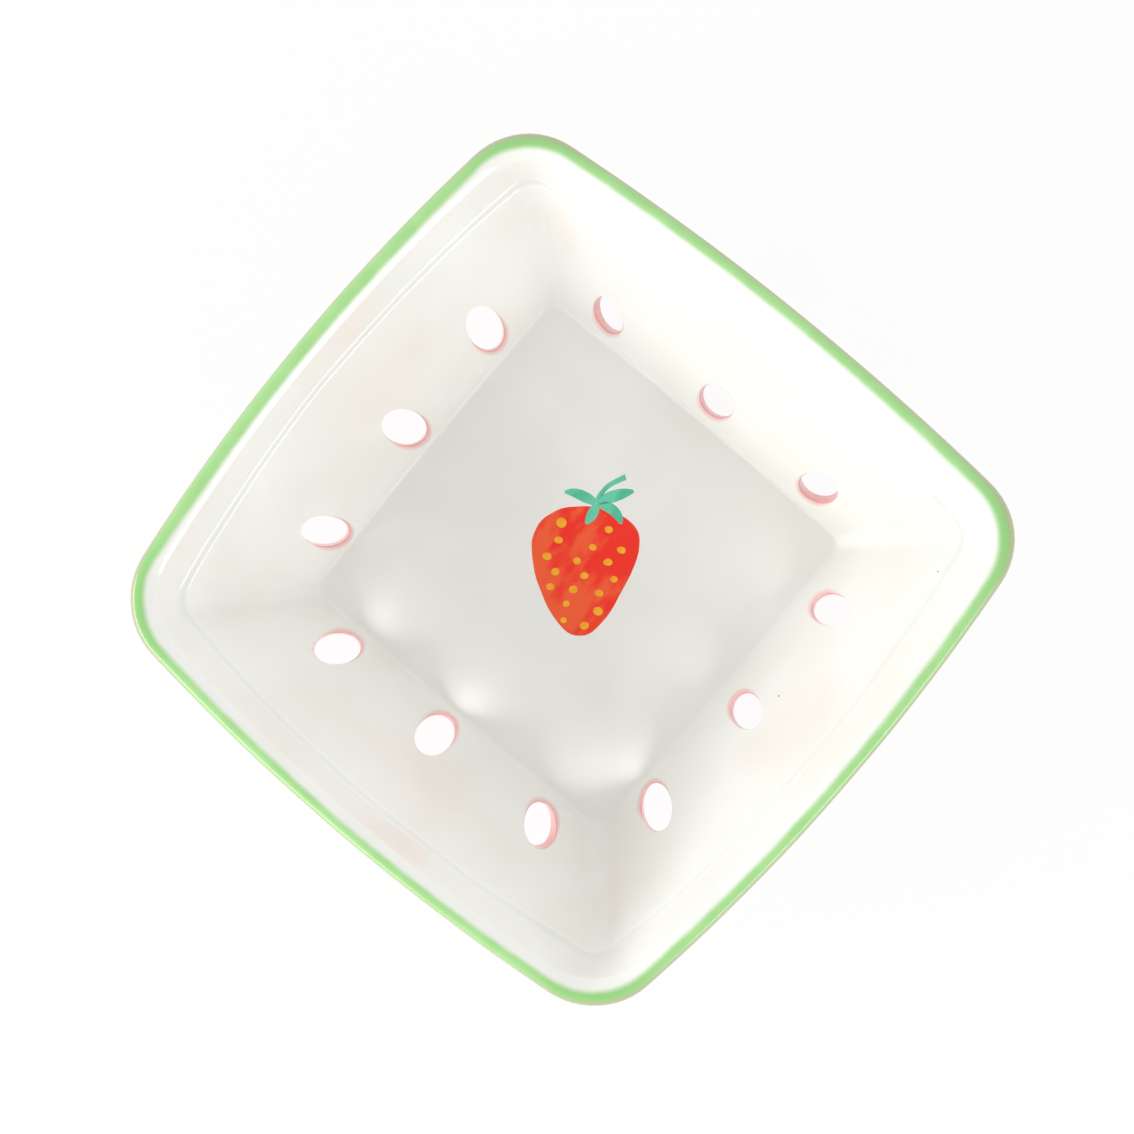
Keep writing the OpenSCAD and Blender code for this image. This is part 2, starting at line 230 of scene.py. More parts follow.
# Drain holes: three bores in each wall with glazed mouths. They run down and a little outward. Each
# was cut by hand with a punch that was rocked, so they differ in size and are longer one way.
holes = {
    "mouth": 0.45, "mouthMost": 1.9, "halfColumns": 9, "rowsAcross": 24, "inBelow": 12,
    "outBelow": 12, "wallRings": 5, "mouthRings": 8, "boreRings": 3,
    "seepSide": 1.1,   # millimetres by which the pink seeps less on the side away from the floor
    "allPink": 9.0,    # depth given to places in the bore
    "farFromHole": -50.0,
    # for each wall +X, +Y, -X, -Y and each hole: place along the wall, height above the floor,
    # lean outward and aside in degrees, length, width, and turn of the length from straight outward
    "cuts": [
        [(-33.5, 11, 16, 7, 9.7, 9.2, 0), (-1, 10.5, 8, 0, 9.4, 8.4, 90),
         (33, 10.5, 13, 0, 9.8, 7.9, 47)],
        [(-31, 12, 12, 0, 12, 8.8, -20), (0.5, 10.5, 12, 3, 11.8, 8.9, 21),
         (33, 10, 15, 6, 12.8, 7.9, 30)],
        [(-32, 11, 8, -2, 11, 7.9, -49), (0.5, 10.5, 11, -3, 11, 9.1, -5),
         (35, 12.3, 9, -13, 9.6, 8.8, 0)],
        [(-32, 11.5, 4, -3, 11.3, 7.8, -45), (0.5, 12.5, 7, -1, 8.9, 8, -25),
         (32.5, 13.3, 7, 1, 9.4, 7.7, 34)],
    ],
}


def wallX(path, y, z):
    half = np.interp(z, path[:, 1], path[:, 0])
    bow = bowAt(z)
    big = ((half - bow) ** 2 + bow ** 2) / (2 * bow)
    return half - big + np.sqrt(big ** 2 - y ** 2)


def ontoWall(path, places, axis):
    # slides places along the hole's axis until they lie on the wall, by halving the way
    low, high = np.full(len(places), -30.0), np.full(len(places), 30.0)
    for _ in range(26):
        half = (low + high) / 2
        there = places + np.outer(half, axis)
        beyond = there[:, 0] > wallX(path, there[:, 1], there[:, 2])
        low, high = np.where(beyond, half, low), np.where(beyond, high, half)
    return places + np.outer(low, axis)


def blockLoop(bottom, top, left, right):
    up = 1 if top > bottom else -1
    return ([(bottom, j) for j in range(left, right)] + [(i, right) for i in range(bottom, top, up)]
            + [(top, j) for j in range(right, left, -1)] + [(i, left) for i in range(top, bottom, -up)])


innerWall = insidePath
outerWall = outsidePath[::-1]
faces, faceGlaze, cut = [], [], set()
extraPoints, extraDepth = [], []
allPoints = len(points)


def nearestRow(z, first, last):
    return min(range(first, last), key=lambda i: abs(rows[i][0][2] - z))


def drainHole(side, number):
    global allPoints
    along, rise, lean, aside, length, width, turned = holes["cuts"][side][number]
    middle = np.array([wallX(innerWall, along, floorZ + rise), along, floorZ + rise])
    axis = np.array([-tan(radians(lean)), -tan(radians(aside)), 1])
    axis /= np.linalg.norm(axis)
    outward = np.array([1, 0, 0]) - axis * axis[0]
    outward /= np.linalg.norm(outward)
    sideways = np.cross(axis, outward)
    sideStart = side * (bowl["sidePoints"] + bowl["cornerPoints"])

    def ends(path, firstRow, lastRow, below, up):
        # the block of grid squares that this mouth takes, and its edge places about the hole
        centre = ontoWall(path, middle[None], axis)[0]
        row = nearestRow(centre[2], firstRow, lastRow + 1)
        column = int(np.abs(rows[row][:bowl["sidePoints"], 1] - centre[1]).argmin())
        bottom = min(max(row - up * below, firstRow), lastRow)
        top = bottom + up * holes["rowsAcross"]
        left, right = column - holes["halfColumns"], column + holes["halfColumns"]
        loop = blockLoop(bottom, top, left, right)
        for i in range(min(bottom, top), max(bottom, top)):
            for j in range(left, right):
                cut.add((i, (sideStart + j) % columns))
        offset = np.array([rows[i][j] for i, j in loop]) - middle
        flat = offset - np.outer(offset @ axis, axis)
        turns = np.unwrap(np.arctan2(flat @ sideways, flat @ outward))
        return [at(i, sideStart + j) for i, j in loop], turns, np.linalg.norm(flat, axis=1)

    inner = ends(innerWall, firstInside + 2, firstOutside, holes["inBelow"], 1)
    outer = ends(outerWall, firstOutside, len(rows) - bowl["rings"] - 1, holes["outBelow"], -1)
    outerTurns = outer[1] + 2 * pi * round((inner[1][0] - outer[1][0]) / (2 * pi))
    common = (inner[1] + outerTurns) / 2
    even = np.linspace(0, 2 * pi * np.sign(common[-1] - common[0]), len(common), endpoint=False)
    turns = (common + even + np.mean(common - even)) / 2
    fromLong = turns - radians(turned)
    radius = length * width / 2 / np.hypot(width * np.cos(fromLong), length * np.sin(fromLong))

    def ring(path, turn, reach):
        around = np.outer(np.cos(turn), outward) + np.outer(np.sin(turn), sideways)
        return ontoWall(path, middle + around * np.reshape(reach, (-1, 1)), axis)

    def mouth(path, edgeTurns, edgeReach, boreWay):
        # rings from the block's edge over the rounded mouth into the bore, and their depths
        sharp = ring(path, turns, radius)
        tangent = ring(path, turns, radius + 0.4) - sharp
        tangent /= np.linalg.norm(tangent, axis=1)[:, None]
        wedge = np.arccos(tangent @ boreWay)
        back = np.minimum(holes["mouth"] / np.tan(wedge / 2) ** 1.5, holes["mouthMost"])
        back = np.minimum(back, 0.8 * (edgeReach - radius) / np.sin(wedge))
        reach = radius + back * np.sin(wedge)
        rings, depths = [], []
        for k in range(1, holes["wallRings"] + 1):
            share = k / holes["wallRings"]
            here = edgeReach + (reach - edgeReach) * share
            rings.append(ring(path, edgeTurns + (turns - edgeTurns) * share, here))
            depths.append(reach - here)  # millimetres before the rounding, then a share of it
        start, end = rings[-1], sharp + np.outer(back, boreWay)
        for k in range(1, holes["mouthRings"] + 1):
            t = k / holes["mouthRings"]
            rings.append((1 - t) ** 2 * start + 2 * t * (1 - t) * sharp + t * t * end)
            depths.append(np.full(len(turns), t))
        return rings, depths

    innerRings, innerDepths = mouth(innerWall, inner[1], inner[2], -axis)
    outerRings, outerDepths = mouth(outerWall, outerTurns, outer[2], axis)
    bore = [innerRings[-1] + (outerRings[-1] - innerRings[-1]) * k / (holes["boreRings"] + 1)
            for k in range(1, holes["boreRings"] + 1)]
    rings = innerRings + bore + outerRings[::-1]
    deep = [np.full(len(turns), holes["allPink"])] * (len(bore) + len(outerRings))
    quarter = np.array([[cos(pi / 2 * side), sin(pi / 2 * side), 0],
                        [-sin(pi / 2 * side), cos(pi / 2 * side), 0], [0, 0, 1]])
    loops = [inner[0]]
    seepLess = holes["seepSide"] * (1 + np.cos(turns)) / 2
    for places, depth in zip(rings, innerDepths + deep):
        extraPoints.append(places @ quarter)
        extraDepth.append(depth - seepLess)
        loops.append(list(range(allPoints, allPoints + len(places))))
        allPoints += len(places)
    loops.append(outer[0])
    toMouth = holes["wallRings"] + holes["mouthRings"] // 2
    for k, (now, after) in enumerate(zip(loops, loops[1:])):
        kind = "inside" if k < toMouth else "hole" if k < len(loops) - 1 - toMouth else "outside"
        for m in range(len(now)):
            n = (m + 1) % len(now)
            faces.append((now[m], after[m], after[n], now[n]))
            faceGlaze.append(kind)


for side in range(4):
    for number in range(3):
        drainHole(side, number)

for i in range(len(rows) - 1):
    for j in range(columns):
        if (i, j) not in cut:
            faces.append((at(i, j), at(i + 1, j), at(i + 1, j + 1), at(i, j + 1)))
            faceGlaze.append(rowGlaze[i + 1])
for j in range(columns):
    faces.append((floorMiddle, at(0, j), at(0, j + 1)))
    faceGlaze.append("inside")
    faces.append((at(len(rows) - 1, j), baseMiddle, at(len(rows) - 1, j + 1)))
    faceGlaze.append("outside")
skin = pressed(np.vstack([points] + extraPoints))
depths = np.concatenate([np.full(len(points), holes["farFromHole"])] + extraDepth)
# the two middles and the holes' places lie far from the band
extra = len(skin) - len(rows) * columns
fromBand = np.concatenate([fromBand, np.full(extra, 99.0)])
nearCorner = np.concatenate([nearCorner, np.zeros(extra)])
brushedWide = np.concatenate([brushedWide, np.zeros(extra)])
print("drain holes cut:", len(faces), "faces of skin")


def normalsOf(places, polygons):
    total = np.zeros_like(places)
    for size in (3, 4):
        some = np.array([f for f in polygons if len(f) == size])
        if len(some):
            a, b, c, d = places[some[:, 0]], places[some[:, 1]], places[some[:, 2]], places[some[:, -1]]
            square = np.cross(c - a, d - b) if size == 4 else np.cross(b - a, c - a)
            for column in range(size):
                np.add.at(total, some[:, column], square)
    return total / np.maximum(np.linalg.norm(total, axis=1), 1e-9)[:, None]


def lumps(places, length):
    return np.array([noise.noise(Vector(p) / length) for p in places])


def weave(places, normals):
    # how far the step wanders up and down the inside of the wall
    near = np.exp(-((places[:, 2] - stepZ) / bowl["weaveReach"]) ** 2) * (normals[:, 2] > 0.1)
    level = np.maximum(np.linalg.norm(normals[:, :2], axis=1), 1e-6)[:, None]
    upWall = np.column_stack([-wallWay[0] * normals[:, :2] / level, np.full(len(places), wallWay[1])])
    return upWall * (bowl["stepWeave"] * near * lumps(places, bowl["weaveLength"]))[:, None]


skinNormals = normalsOf(skin, faces)
skin = skin + weave(skin, skinNormals)
skin = skin + skinNormals * (bowl["ripple"] * (lumps(skin, bowl["rippleLength"]) - 1))[:, None]
skinNormals = normalsOf(skin, faces)
clay = skin - skinNormals * bowl["glaze"]


def makePiece(name, places, polygons, normals, attributes=None):
    mesh = bpy.data.meshes.new(name)
    mesh.from_pydata((places * mm).tolist(), [], [tuple(map(int, p)) for p in polygons])
    mesh.shade_smooth()
    for label, values in (attributes or {}).items():
        mesh.attributes.new(label, "FLOAT", "POINT").data.foreach_set("value", values.astype(np.float32))
    if normals is not None:
        mesh.normals_split_custom_set_from_vertices(normals.tolist())
    piece = bpy.data.objects.new(name, mesh)
    bpy.context.scene.collection.objects.link(piece)
    return piece


def glazeShell(name, kind):
    # a closed layer: the skin, the clay's surface under it, and a narrow wall where it ends
    mine = [f for f, k in zip(faces, faceGlaze) if k == kind]
    used = sorted({v for f in mine for v in f})
    place = {v: n for n, v in enumerate(used)}
    top = [[place[v] for v in f] for f in mine]
    edges = {(f[m], f[(m + 1) % len(f)]) for f in top for m in range(len(f))}
    under = [[v + len(used) for v in reversed(f)] for f in top]
    wall = [(b, a, a + len(used), b + len(used)) for a, b in edges if (b, a) not in edges]
    attributes = {"fromBand": fromBand, "nearCorner": nearCorner, "brushedWide": brushedWide,
                  "boreDepth": depths}
    return makePiece(name, np.vstack([skin[used], clay[used]]), top + under + sorted(wall),
                     np.vstack([skinNormals[used], -skinNormals[used]]),
                     {label: np.tile(values[used], 2) for label, values in attributes.items()})


insideGlaze = glazeShell("insideGlaze", "inside")
rimGlaze = glazeShell("rimGlaze", "band")
outsideGlaze = glazeShell("outsideGlaze", "outside")
holeGlaze = glazeShell("holeGlaze", "hole")
clayBody = makePiece("clayBody", clay, faces, skinNormals)
print("glaze layers and clay body made")

# Foot ring: bare clay strip, ground flat below, with softly rounded edges
foot = {"thick": 5, "round": 1.2, "roundSteps": 6, "intoBase": 0.3}


def footRows():
    half, corner, top = footHalf, bowl["baseCorner"], bowl["footHeight"] + foot["intoBase"]
    r, n = foot["round"], foot["roundSteps"]
    turns = [pi / 2 * i / n for i in range(n + 1)]
    section = ([(foot["thick"], top), (foot["thick"] * 0.5, top), (0, top), (0, (top + r) / 2)]
               + [(r * (1 - cos(a)), r * (1 - sin(a))) for a in turns]
               + [(foot["thick"] - r * (1 - sin(a)), r * (1 - cos(a))) for a in turns]
               + [(foot["thick"], (top + r) / 2)])
    for inward, z in section:
        outline = planOf(half - inward, bowl["floorBow"], corner - inward)
        yield np.column_stack([outline, np.full(len(outline), z)])


ringRows = list(footRows())
ringFaces = []
for i in range(len(ringRows)):
    below = (i + 1) % len(ringRows)
    ringFaces += [(at(i, j), at(below, j), at(below, j + 1), at(i, j + 1)) for j in range(columns)]
footRing = makePiece("footRing", np.vstack(ringRows), ringFaces, None)
print("foot ring made")

# Painted strawberry: thin washes of underglaze on the floor, drawn with the stalk along +X
berry = {
    "length": 34, "width": 28, "bend": 1.5, "place": (0.5, -3), "turn": 32,
    "tipPower": 0.5, "shoulderPower": 5, "outline": 96, "rings": 10,
    "lift": 0.03, "sunk": 0.12, "wobble": 0.3, "wobbleLength": 5, "wobbleSeed": 19,
    "seed": 2.1, "seedSpread": 0.86, "seedSway": 0.1, "seedStray": 1.1,
    "seedRows": [(0.11, 2), (0.24, 2), (0.35, 3), (0.47, 3), (0.59, 3), (0.7, 3), (0.82, 2)],
    "foot": 0.51, "leaf": 10, "leafWidth": 2.9,
    "leaves": [  # angle from the stalk, bend, share of the longest leaf
        (-125, -75, 0.9), (-65, -20, 1.0), (80, 40, 0.9), (160, -15, 0.6),
    ],
    "stem": (-42, -55, 1.05), "stemWidth": 1.6,
}
noise.seed_set(berry["wobbleSeed"])  # without it, noise_vector differs from run to run


def swell(t):
    return t ** berry["tipPower"] * sqrt(1 - t ** berry["shoulderPower"])


swellMost = max(swell(i / 200) for i in range(201))


def inFruit(t, aside):
    # a place in the fruit: its share of the length from the tip, and its share of the half width
    half = berry["width"] / 2 * swell(t) / swellMost
    return np.array([(t - 0.5) * berry["length"], aside * half + berry["bend"] * sin(pi * t)])


def onFloor(flat, lift):
    # flat places of the drawing, laid on the floor and lifted by this much
    turn = radians(berry["turn"])
    x = flat[:, 0] * cos(turn) - flat[:, 1] * sin(turn) + berry["place"][0]
    y = flat[:, 0] * sin(turn) + flat[:, 1] * cos(turn) + berry["place"][1]
    level = np.column_stack([x, y, np.full(len(x), floorZ)])
    level[:, 2] += bowl["ripple"] * (lumps(level, bowl["rippleLength"]) - 1) + lift
    return level


def wobbled(flat, seed):
    shift = [noise.noise_vector(Vector((p[0], p[1], seed)) / berry["wobbleLength"])[:2] for p in flat]
    return flat + berry["wobble"] * np.array(shift)


def wash(outlines, middles, lift):
    # closed pools of colour: rings from each outline to its middle, and a flat underneath
    places, flats, polygons, edge = [], [], [], []
    count = 0

    def add(flat, rise, edgeShare):
        places.append(onFloor(flat, rise))
        flats.append(flat)
        edge.extend([edgeShare] * len(flat))

    for outline, middle in zip(outlines, middles):
        n = len(outline)
        shares = [1 - k / berry["rings"] for k in range(berry["rings"])]
        for k, share in enumerate(shares):
            add(middle + (outline - middle) * share, -0.02 if k == 0 else lift, 1 - share)
        add(middle[None], lift, 1)
        add(outline, -berry["sunk"], 0)
        top, last = count, count + n * len(shares)
        for k in range(len(shares) - 1):
            polygons += [(top + k * n + m, top + k * n + (m + 1) % n,
                          top + (k + 1) * n + (m + 1) % n, top + (k + 1) * n + m) for m in range(n)]
        inner = top + (len(shares) - 1) * n
        polygons += [(inner + m, inner + (m + 1) % n, last) for m in range(n)]
        under = last + 1
        polygons += [(top + (m + 1) % n, top + m, under + m, under + (m + 1) % n) for m in range(n)]
        polygons.append(tuple(under + n - 1 - m for m in range(n)))
        count = under + n
    flat = np.vstack(flats)
    return np.vstack(places), polygons, {"washEdge": np.array(edge), "washAlong": flat[:, 0],
                                         "washAside": flat[:, 1]}


def stroke(angle, bend, length, widths):
    # outline of a brush stroke that leaves the stalk's foot, and the middle of its spine
    count = len(widths)
    turn = np.radians(angle + bend * (np.arange(count) / (count - 1) - 0.5))
    way = np.column_stack([np.cos(turn), np.sin(turn)])
    start = [(berry["foot"] * berry["length"], 0)]
    spine = start + np.vstack([[0, 0], np.cumsum(way[:-1] * length / (count - 1), axis=0)])
    aside = np.column_stack([-way[:, 1], way[:, 0]]) * np.array(widths)[:, None] / 2
    outline = wobbled(np.vstack([spine - aside, (spine + aside)[::-1]]), angle / 10)
    return outline, spine[count // 2]


def fruitOutline():
    t = (1 - np.cos(pi * np.arange(berry["outline"] // 2 + 1) / (berry["outline"] // 2))) / 2
    right, left = [inFruit(v, -1) for v in t], [inFruit(v, 1) for v in t[-2:0:-1]]
    return wobbled(np.array(right + left), 1.5)


def seedOutlines():
    outlines, middles = [], []
    for row, (share, amount) in enumerate(berry["seedRows"]):
        for i in range(amount):
            aside = berry["seedSpread"] * ((2 * i + 1) / amount - 1) + berry["seedSway"] * (-1) ** row
            middle = inFruit(share, aside)
            stray = np.array(noise.noise_vector(Vector((*middle * 0.9, 4.2)))[:2])
            middle = middle + berry["seedStray"] * stray
            size = berry["seed"] / 2 * (1 + 0.5 * noise.noise(Vector((*middle * 0.7, 7.7))))
            turn = np.linspace(0, 2 * pi, 24, endpoint=False)
            dot = middle + size * np.column_stack([0.95 * np.cos(turn), 1.08 * np.sin(turn)])
            outlines.append(wobbled(dot, 3.1))
            middles.append(middle)
    return outlines, middles


def leafOutlines():
    t = np.linspace(0, 1, 17)
    swelling = np.maximum(np.sin(pi * np.clip(0.12 + 0.83 * t, 0, 1)) ** 0.75, 0.06)
    strokes = [stroke(angle, bend, share * berry["leaf"], berry["leafWidth"] * swelling)
               for angle, bend, share in berry["leaves"]]
    return [outline for outline, _ in strokes], [middle for _, middle in strokes]


def paintedPiece(name, outlines, middles, lift):
    places, polygons, attributes = wash(outlines, middles, lift)
    return makePiece(name, places, polygons, None, attributes)


paintedFruit = paintedPiece("paintedFruit", [fruitOutline()], [inFruit(0.56, 0)], berry["lift"])
paintedLeaves = paintedPiece("paintedLeaves", *leafOutlines(), berry["lift"] * 1.6)
stemAngle, stemBend, stemShare = berry["stem"]
stemEdge, stemMiddle = stroke(stemAngle, stemBend, stemShare * berry["leaf"],
                              berry["stemWidth"] * np.linspace(0.6, 1, 13))
paintedStem = paintedPiece("paintedStem", [stemEdge], [stemMiddle], berry["lift"] * 1.3)
paintedSeeds = paintedPiece("paintedSeeds", *seedOutlines(), berry["lift"] * 2)
print("strawberry painted")


def colour(code):
    # sRGB hex to Blender's linear colour
    parts = [int(code[i:i + 2], 16) / 255 for i in (0, 2, 4)]
    return (*[c / 12.92 if c <= 0.04045 else ((c + 0.055) / 1.055) ** 2.4 for c in parts], 1)


def addNode(tree, kind, settings=None, links=None):
    # settings go to the node's own properties or to its sockets, links from other nodes' outputs
    node = tree.nodes.new(kind)
    for key, value in (settings or {}).items():
        if isinstance(key, str) and hasattr(node, key):
            setattr(node, key, value)
        else:
            node.inputs[key].default_value = value
    for key, output in (links or {}).items():
        tree.links.new(output, node.inputs[key])
    return node


def newMaterial(name):
    material = bpy.data.materials.new(name)
    material.use_nodes = True
    material.node_tree.nodes.clear()
    return material, material.node_tree


def perMm(size):
    return 1 / (size * mm)  # a texture's scale for a pattern of this size


def mixed(tree, factor, a, b):
    # one colour over another; a and b are hex codes or outputs
    node = addNode(tree, "ShaderNodeMix", {"data_type": "RGBA"}, {0: factor})
    for socket, value in ((6, a), (7, b)):
        if isinstance(value, str):
            node.inputs[socket].default_value = colour(value)
        else:
            tree.links.new(value, node.inputs[socket])
    return node.outputs[2]


def ranged(tree, value, low, high, toLow=0.0, toHigh=1.0):
    node = addNode(tree, "ShaderNodeMapRange", {"From Min": low, "From Max": high, "To Min": toLow,
                   "To Max": toHigh, "interpolation_type": "SMOOTHSTEP"}, {"Value": value})
    return node.outputs[0]


def attribute(tree, name):
    return addNode(tree, "ShaderNodeAttribute", {"attribute_name": name}).outputs["Fac"]


def noiseOf(tree, where, size, detail=2.0, roughness=0.5):
    node = addNode(tree, "ShaderNodeTexNoise", {"Scale": perMm(size), "Detail": detail,
                   "Roughness": roughness}, {"Vector": where})
    return node.outputs["Fac"]


# Clear glossy ceramic glaze: the IOR of fired glass, thin sharp lights over a broad soft sheen, and a
# faint orange peel
glazeLook = {"ior": 1.5, "roughness": 0.25, "coat": 0.55, "coatRoughness": 0.03,
             "peel": 5, "peelHeight": 0.012, "peelStrength": 0.6}


def glazeShader(tree, where, base, coat=glazeLook["coat"], coatRoughness=glazeLook["coatRoughness"]):
    lump = addNode(tree, "ShaderNodeBump", {"Strength": glazeLook["peelStrength"],
                   "Distance": glazeLook["peelHeight"] * mm},
                   {"Height": noiseOf(tree, where, glazeLook["peel"])}).outputs[0]
    shader = addNode(tree, "ShaderNodeBsdfPrincipled", {
        "Roughness": glazeLook["roughness"], "IOR": glazeLook["ior"],
        "Coat Weight": coat, "Coat Roughness": coatRoughness},
        {"Base Color": base, "Normal": lump, "Coat Normal": lump})
    addNode(tree, "ShaderNodeOutputMaterial", {}, {"Surface": shader.outputs[0]})


# White tin glaze, dipped: soft glossy white with thin and thick places, few iron specks
whiteLook = {
    "white": "F8F8F3", "thin": "F3F3EC", "speck": "5E5448", "pinkEdge": "F3B4B0",
    "cloud": 30, "speckApart": 17, "speckSize": 0.020, "seepFrom": -0.7, "seepTo": 0.6, "seep": 0.9,
}


def whiteBase(tree, where):
    cloud = ranged(tree, noiseOf(tree, where, whiteLook["cloud"]), 0.35, 0.7)
    return mixed(tree, cloud, whiteLook["white"], whiteLook["thin"])


def whiteGlaze():
    material, tree = newMaterial("white dipped glaze")
    where = addNode(tree, "ShaderNodeTexCoord").outputs["Object"]
    specks = addNode(tree, "ShaderNodeTexVoronoi", {"Scale": perMm(whiteLook["speckApart"])},
                     {"Vector": where}).outputs["Distance"]
    isSpeck = ranged(tree, specks, whiteLook["speckSize"], whiteLook["speckSize"] * 0.5)
    base = mixed(tree, isSpeck, whiteBase(tree, where), whiteLook["speck"])
    seep = ranged(tree, attribute(tree, "boreDepth"), whiteLook["seepFrom"], whiteLook["seepTo"],
                  0, whiteLook["seep"])
    glazeShader(tree, where, mixed(tree, seep, base, whiteLook["pinkEdge"]))
    return material


# Pink dipped glaze: milky pink, a little paler where it runs thin and tan where the green ends
pinkLook = {"pink": "F0A3A2", "pale": "F5B4B0", "cloud": 22, "greenEnds": (6.5, 8.5)}


def pinkGlaze():
    material, tree = newMaterial("pink dipped glaze")
    where = addNode(tree, "ShaderNodeTexCoord").outputs["Object"]
    cloud = ranged(tree, noiseOf(tree, where, pinkLook["cloud"], 3.0), 0.35, 0.7)
    base = mixed(tree, cloud, pinkLook["pink"], pinkLook["pale"])
    underGreen = ranged(tree, attribute(tree, "fromBand"), *pinkLook["greenEnds"], 0.9, 0)
    glazeShader(tree, where, mixed(tree, underGreen, base, greenLook["overPink"]))
    return material


# Green rim glaze, brushed on over both: it thins to nothing on the bevel inside, pools a little
# deeper round the corners, and turns tan where it thins over the pink
greenLook = {"green": "ABE092", "deep": "94D17B", "overPink": "B9B795", "cloud": 7,
             "thinFrom": 1.7, "thinTo": 3.3, "uneven": 0.5, "wideMore": 0.8,
             "tanFrom": 4.45, "tanTo": 5.7, "cornerMore": 0.55, "coatRoughness": 0.16}


def greenGlaze():
    material, tree = newMaterial("green brushed glaze")
    where = addNode(tree, "ShaderNodeTexCoord").outputs["Object"]
    cloud = ranged(tree, noiseOf(tree, where, greenLook["cloud"], 2.0), 0.35, 0.7, 0, 0.35)
    corner = attribute(tree, "nearCorner")
    pooled = addNode(tree, "ShaderNodeMath", {"operation": "MAXIMUM"}, {0: cloud, 1: corner}).outputs[0]
    base = mixed(tree, pooled, greenLook["green"], greenLook["deep"])
    along = attribute(tree, "fromBand")
    wander = addNode(tree, "ShaderNodeMath", {"operation": "MULTIPLY_ADD", 1: greenLook["uneven"]},
                     {0: noiseOf(tree, where, greenLook["cloud"]), 2: along}).outputs[0]
    wider = addNode(tree, "ShaderNodeMath", {"operation": "MULTIPLY_ADD", 1: greenLook["cornerMore"]},
                    {0: corner, 2: along}).outputs[0]
    overPink = ranged(tree, wider, greenLook["tanFrom"], greenLook["tanTo"], 0, 0.9)
    base = mixed(tree, overPink, base, greenLook["overPink"])
    wander = addNode(tree, "ShaderNodeMath", {"operation": "MULTIPLY_ADD", 1: greenLook["wideMore"]},
                     {0: attribute(tree, "brushedWide"), 2: wander}).outputs[0]
    thin = ranged(tree, wander, greenLook["thinFrom"] + greenLook["uneven"] / 2,
                  greenLook["thinTo"] + greenLook["uneven"] / 2)
    glazeShader(tree, where, mixed(tree, thin, whiteBase(tree, where), base),
                coatRoughness=greenLook["coatRoughness"])
    return material


# Bare stoneware, fired and ground: matt sandy buff, so it scatters light and shows its grog
clayLook = {"clay": "CDBBA2", "sand": "B8A489", "grog": "8E7A62", "grain": 0.7, "patch": 9}


def bareClay(name, roughness):
    material, tree = newMaterial(name)
    where = addNode(tree, "ShaderNodeTexCoord").outputs["Object"]
    patch = ranged(tree, noiseOf(tree, where, clayLook["patch"], 4.0, 0.6), 0.3, 0.7)
    base = mixed(tree, patch, clayLook["clay"], clayLook["sand"])
    grain = noiseOf(tree, where, clayLook["grain"], 3.0, 0.7)
    base = mixed(tree, ranged(tree, grain, 0.62, 0.75, 0, 0.5), base, clayLook["grog"])
    lump = addNode(tree, "ShaderNodeBump", {"Strength": 0.5, "Distance": 0.12 * mm}, {"Height": grain})
    shader = addNode(tree, "ShaderNodeBsdfPrincipled", {"Roughness": roughness, "IOR": 1.5},
                     {"Base Color": base, "Normal": lump.outputs[0]})
    addNode(tree, "ShaderNodeOutputMaterial", {}, {"Surface": shader.outputs[0]})
    return material


# Brushed underglaze: watery streaks of a stain, paler at the edge of the wash. A settled wash is
# deeper toward the stalk's right.
def underglaze(name, deep, watery, edge, streak=4.0, settled=0.0):
    material, tree = newMaterial(name)
    where = addNode(tree, "ShaderNodeTexCoord").outputs["Object"]
    streaks = addNode(tree, "ShaderNodeMapping", {"Rotation": (0, 0, radians(-berry["turn"])),
                      "Scale": (0.45, 1, 1)}, {"Vector": where}).outputs[0]
    aslant = addNode(tree, "ShaderNodeMath", {"operation": "SUBTRACT"}, {
        0: attribute(tree, "washAside"), 1: attribute(tree, "washAlong")}).outputs[0]
    flow = addNode(tree, "ShaderNodeMath", {"operation": "MULTIPLY_ADD", 1: settled * 2 / berry["length"]},
                   {0: aslant, 2: noiseOf(tree, streaks, streak, 3.0, 0.55)}).outputs[0]
    base = mixed(tree, ranged(tree, flow, 0.36, 0.62), deep, watery)
    rim = ranged(tree, attribute(tree, "washEdge"), 0.07, 0.0, 0, 0.6)
    glazeShader(tree, where, mixed(tree, rim, base, edge), coat=0)
    return material


def dress(piece, material, slot, *nodes):
    piece.data.materials.append(material)
    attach(piece, "root")
    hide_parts(*nodes)


pink = pinkGlaze()
leafStain = underglaze("teal brushed underglaze", "50C49E", "6CD6B4", "8EE0C6")
dress(insideGlaze, whiteGlaze(), "white_glaze", "inside_glaze")
dress(outsideGlaze, pink, "pink_glaze", "outside_glaze")
dress(holeGlaze, pink, "pink_glaze", "drain_hole_glaze")
dress(rimGlaze, greenGlaze(), "green_glaze", "rim_band")
dress(clayBody, bareClay("fired stoneware", 0.8), "stoneware", "stoneware_body")
dress(footRing, bareClay("ground stoneware", 0.9), "bare_foot", "foot_ring")
dress(paintedFruit, underglaze("red brushed underglaze", "FF2200", "FF5C28", "FF7C54", 4.0, 0.13),
      "red_underglaze", "strawberry_fruit")
dress(paintedSeeds, underglaze("yellow dotted underglaze", "FFA800", "FFBC1C", "FF9420", 1.5),
      "yellow_underglaze", "strawberry_seeds")
dress(paintedLeaves, leafStain, "leaf_underglaze", "strawberry_leaves")
dress(paintedStem, leafStain, "leaf_underglaze", "strawberry_stem")
print("materials on")

